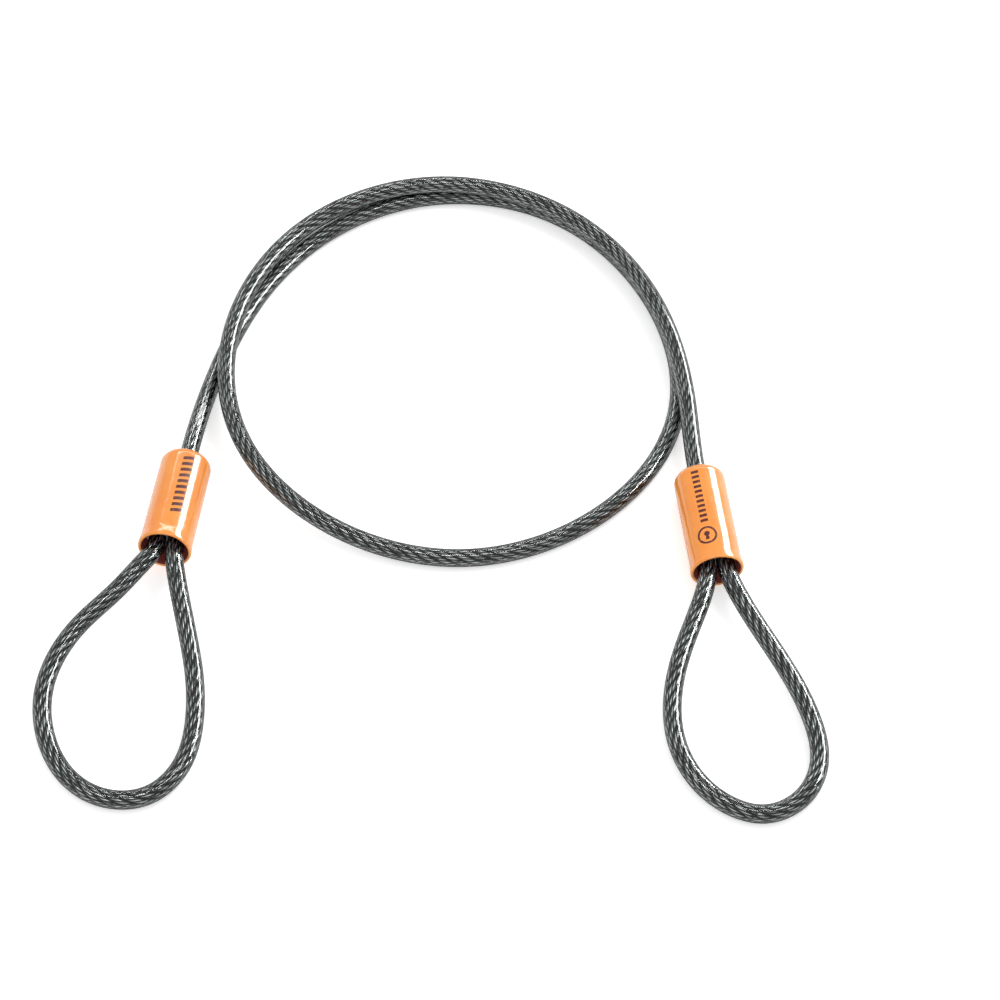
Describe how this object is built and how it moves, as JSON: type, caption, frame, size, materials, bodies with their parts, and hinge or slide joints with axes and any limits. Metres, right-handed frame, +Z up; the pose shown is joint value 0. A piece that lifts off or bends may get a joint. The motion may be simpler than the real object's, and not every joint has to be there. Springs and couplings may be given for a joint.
{
  "type": "bicycle cable lock",
  "caption": "Flexible vinyl-jacketed wire rope security cable, coiled, with a clamped and sleeved eye loop at each end for a separate padlock or U-lock.",
  "frame": {"origin": "centre of the footprint of the coiled cable, on the surface it lies on", "axes": "+Z up from the surface; both eyes point towards -Y; +X to the right as seen from the eyes"},
  "size_m": [0.4206, 0.435, 0.0345],
  "materials": {
    "vinyl_jacket": "clear smoke-grey vinyl, glossy",
    "steel_rope": "drawn steel wires laid in strands",
    "sleeve": "glossy orange moulded vinyl",
    "ferrule": "plain pressed"
  },
  "bodies": {
    "cable_middle": {"jacket_middle": "vinyl_jacket", "rope_middle": "steel_rope"},
    "left_cable_01": {"jacket_left_01": "vinyl_jacket", "rope_left_01": "steel_rope"},
    "left_cable_02": {"jacket_left_02": "vinyl_jacket", "rope_left_02": "steel_rope"},
    "left_cable_03": {"jacket_left_03": "vinyl_jacket", "rope_left_03": "steel_rope"},
    "left_cable_04": {"jacket_left_04": "vinyl_jacket", "rope_left_04": "steel_rope"},
    "left_cable_05": {"jacket_left_05": "vinyl_jacket", "rope_left_05": "steel_rope"},
    "left_cable_06": {"jacket_left_06": "vinyl_jacket", "rope_left_06": "steel_rope"},
    "left_cable_07": {"jacket_left_07": "vinyl_jacket", "rope_left_07": "steel_rope"},
    "left_cable_08": {"jacket_left_08": "vinyl_jacket", "rope_left_08": "steel_rope"},
    "left_cable_09": {"jacket_left_09": "vinyl_jacket", "rope_left_09": "steel_rope"},
    "left_cable_10": {"jacket_left_10": "vinyl_jacket", "rope_left_10": "steel_rope"},
    "right_cable_01": {"jacket_right_01": "vinyl_jacket", "rope_right_01": "steel_rope"},
    "right_cable_02": {"jacket_right_02": "vinyl_jacket", "rope_right_02": "steel_rope"},
    "right_cable_03": {"jacket_right_03": "vinyl_jacket", "rope_right_03": "steel_rope"},
    "right_cable_04": {"jacket_right_04": "vinyl_jacket", "rope_right_04": "steel_rope"},
    "right_cable_05": {"jacket_right_05": "vinyl_jacket", "rope_right_05": "steel_rope"},
    "right_cable_06": {"jacket_right_06": "vinyl_jacket", "rope_right_06": "steel_rope"},
    "right_cable_07": {"jacket_right_07": "vinyl_jacket", "rope_right_07": "steel_rope"},
    "right_cable_08": {"jacket_right_08": "vinyl_jacket", "rope_right_08": "steel_rope"},
    "right_cable_09": {"jacket_right_09": "vinyl_jacket", "rope_right_09": "steel_rope"},
    "right_cable_10": {"jacket_right_10": "vinyl_jacket", "rope_right_10": "steel_rope"},
    "right_cable_11": {"jacket_right_11": "vinyl_jacket", "rope_right_11": "steel_rope"},
    "left_end": {"sleeve_left": "sleeve", "ferrule_left": "ferrule", "jacket_end_left": "vinyl_jacket", "rope_end_left": "steel_rope"},
    "left_eye": {"jacket_eye_left": "vinyl_jacket", "rope_eye_left": "steel_rope"},
    "right_end": {"sleeve_right": "sleeve", "ferrule_right": "ferrule", "jacket_end_right": "vinyl_jacket", "rope_end_right": "steel_rope"},
    "right_eye": {"jacket_eye_right": "vinyl_jacket", "rope_eye_right": "steel_rope"}
  },
  "joints": [
    {"name": "uncoil", "type": "hinge", "parent": "cable_middle", "child": "left_cable_01", "pos_m": [0.02945, -0.05342, 0.00524], "axis": [0, 0, -1], "range_deg": [0, 18.65]},
    {"name": "left_bend_02", "type": "hinge", "parent": "left_cable_01", "child": "left_cable_02", "pos_m": [0.0879, -0.02985, 0.00523], "axis": [0, 0, -1], "range_deg": [0, 26.9]},
    {"name": "left_bend_03", "type": "hinge", "parent": "left_cable_02", "child": "left_cable_03", "pos_m": [0.12939, 0.01762, 0.00523], "axis": [0, 0, -1], "range_deg": [0, 30.26]},
    {"name": "left_bend_04", "type": "hinge", "parent": "left_cable_03", "child": "left_cable_04", "pos_m": [0.14128, 0.07928, 0.00523], "axis": [0, 0, -1], "range_deg": [0, 27.71]},
    {"name": "left_bend_05", "type": "hinge", "parent": "left_cable_04", "child": "left_cable_05", "pos_m": [0.12303, 0.13982, 0.00523], "axis": [0, 0, -1], "range_deg": [0, 22.83]},
    {"name": "left_bend_06", "type": "hinge", "parent": "left_cable_05", "child": "left_cable_06", "pos_m": [0.08279, 0.18849, 0.00523], "axis": [0, 0, -1], "range_deg": [0, 28.75]},
    {"name": "left_bend_07", "type": "hinge", "parent": "left_cable_06", "child": "left_cable_07", "pos_m": [0.02439, 0.21171, 0.00523], "axis": [0, 0, -1], "range_deg": [0, 31.52]},
    {"name": "left_bend_08", "type": "hinge", "parent": "left_cable_07", "child": "left_cable_08", "pos_m": [-0.03753, 0.20099, 0.00523], "axis": [0, 0, -1], "range_deg": [0, 28.8]},
    {"name": "left_bend_09", "type": "hinge", "parent": "left_cable_08", "child": "left_cable_09", "pos_m": [-0.08685, 0.16162, 0.00523], "axis": [0, 0, -1], "range_deg": [0, 22.66]},
    {"name": "left_bend_10", "type": "hinge", "parent": "left_cable_09", "child": "left_cable_10", "pos_m": [-0.11734, 0.10606, 0.00523], "axis": [0, 0, -1], "range_deg": [0, 16.48]},
    {"name": "cable_twist", "type": "hinge", "parent": "cable_middle", "child": "right_cable_01", "pos_m": [-0.00642, -0.05295, 0.00583], "axis": [0.9884, -0.1517, 0], "range_deg": [0, 16.02]},
    {"name": "right_bend_01", "type": "hinge", "parent": "right_cable_01", "child": "right_cable_02", "pos_m": [-0.03532, -0.04526, 0.00736], "axis": [0, 0, 1], "range_deg": [0, 22.16]},
    {"name": "right_bend_02", "type": "hinge", "parent": "right_cable_02", "child": "right_cable_03", "pos_m": [-0.08645, -0.01173, 0.01193], "axis": [0, 0, 1], "range_deg": [0, 27.49]},
    {"name": "right_bend_03", "type": "hinge", "parent": "right_cable_03", "child": "right_cable_04", "pos_m": [-0.11628, 0.04148, 0.01519], "axis": [0, 0, 1], "range_deg": [0, 27.63]},
    {"name": "right_bend_04", "type": "hinge", "parent": "right_cable_04", "child": "right_cable_05", "pos_m": [-0.11806, 0.10277, 0.01543], "axis": [0, 0, 1], "range_deg": [0, 23.92]},
    {"name": "right_bend_05", "type": "hinge", "parent": "right_cable_05", "child": "right_cable_06", "pos_m": [-0.09485, 0.15955, 0.01543], "axis": [0, 0, 1], "range_deg": [0, 26.62]},
    {"name": "right_bend_06", "type": "hinge", "parent": "right_cable_06", "child": "right_cable_07", "pos_m": [-0.04881, 0.1998, 0.01543], "axis": [0, 0, 1], "range_deg": [0, 29.37]},
    {"name": "right_bend_07", "type": "hinge", "parent": "right_cable_07", "child": "right_cable_08", "pos_m": [0.01097, 0.2123, 0.01543], "axis": [0, 0, 1], "range_deg": [0, 29.85]},
    {"name": "right_bend_08", "type": "hinge", "parent": "right_cable_08", "child": "right_cable_09", "pos_m": [0.06917, 0.19337, 0.01543], "axis": [0, 0, 1], "range_deg": [0, 26.39]},
    {"name": "right_bend_09", "type": "hinge", "parent": "right_cable_09", "child": "right_cable_10", "pos_m": [0.11299, 0.15047, 0.01543], "axis": [0, 0, 1], "range_deg": [0, 21.93]},
    {"name": "right_bend_10", "type": "hinge", "parent": "right_cable_10", "child": "right_cable_11", "pos_m": [0.1377, 0.09416, 0.01543], "axis": [0, 0, 1], "range_deg": [0, 17.2]},
    {"name": "left_sleeve_swing", "type": "hinge", "parent": "left_cable_10", "child": "left_end", "pos_m": [-0.13761, 0.01307, 0.01367], "axis": [0, 0, 1], "range_deg": [-40, 40]},
    {"name": "left_eye_lift", "type": "hinge", "parent": "left_end", "child": "left_eye", "pos_m": [-0.14705, -0.06707, 0.02073], "axis": [-0.9931, 0.1169, 0], "range_deg": [0, 50]},
    {"name": "right_sleeve_swing", "type": "hinge", "parent": "right_cable_11", "child": "right_end", "pos_m": [0.14811, 0.00291, 0.01483], "axis": [0, 0, 1], "range_deg": [-40, 40]},
    {"name": "right_eye_lift", "type": "hinge", "parent": "right_end", "child": "right_eye", "pos_m": [0.15797, -0.07749, 0.01483], "axis": [-0.9925, -0.1218, 0], "range_deg": [0, 50]}
  ],
  "couplings": [
    {"joint": "left_bend_02", "follows": "uncoil", "ratio": 1.4417},
    {"joint": "left_bend_03", "follows": "uncoil", "ratio": 1.6216},
    {"joint": "left_bend_04", "follows": "uncoil", "ratio": 1.4849},
    {"joint": "left_bend_05", "follows": "uncoil", "ratio": 1.2231},
    {"joint": "left_bend_06", "follows": "uncoil", "ratio": 1.5409},
    {"joint": "left_bend_07", "follows": "uncoil", "ratio": 1.6895},
    {"joint": "left_bend_08", "follows": "uncoil", "ratio": 1.5432},
    {"joint": "left_bend_09", "follows": "uncoil", "ratio": 1.2143},
    {"joint": "left_bend_10", "follows": "uncoil", "ratio": 0.88268},
    {"joint": "cable_twist", "follows": "uncoil", "ratio": 0.85801},
    {"joint": "right_bend_01", "follows": "uncoil", "ratio": 1.1871},
    {"joint": "right_bend_02", "follows": "uncoil", "ratio": 1.473},
    {"joint": "right_bend_03", "follows": "uncoil", "ratio": 1.4807},
    {"joint": "right_bend_04", "follows": "uncoil", "ratio": 1.2815},
    {"joint": "right_bend_05", "follows": "uncoil", "ratio": 1.4267},
    {"joint": "right_bend_06", "follows": "uncoil", "ratio": 1.574},
    {"joint": "right_bend_07", "follows": "uncoil", "ratio": 1.5995},
    {"joint": "right_bend_08", "follows": "uncoil", "ratio": 1.4144},
    {"joint": "right_bend_09", "follows": "uncoil", "ratio": 1.1752},
    {"joint": "right_bend_10", "follows": "uncoil", "ratio": 0.92154}
  ]
}
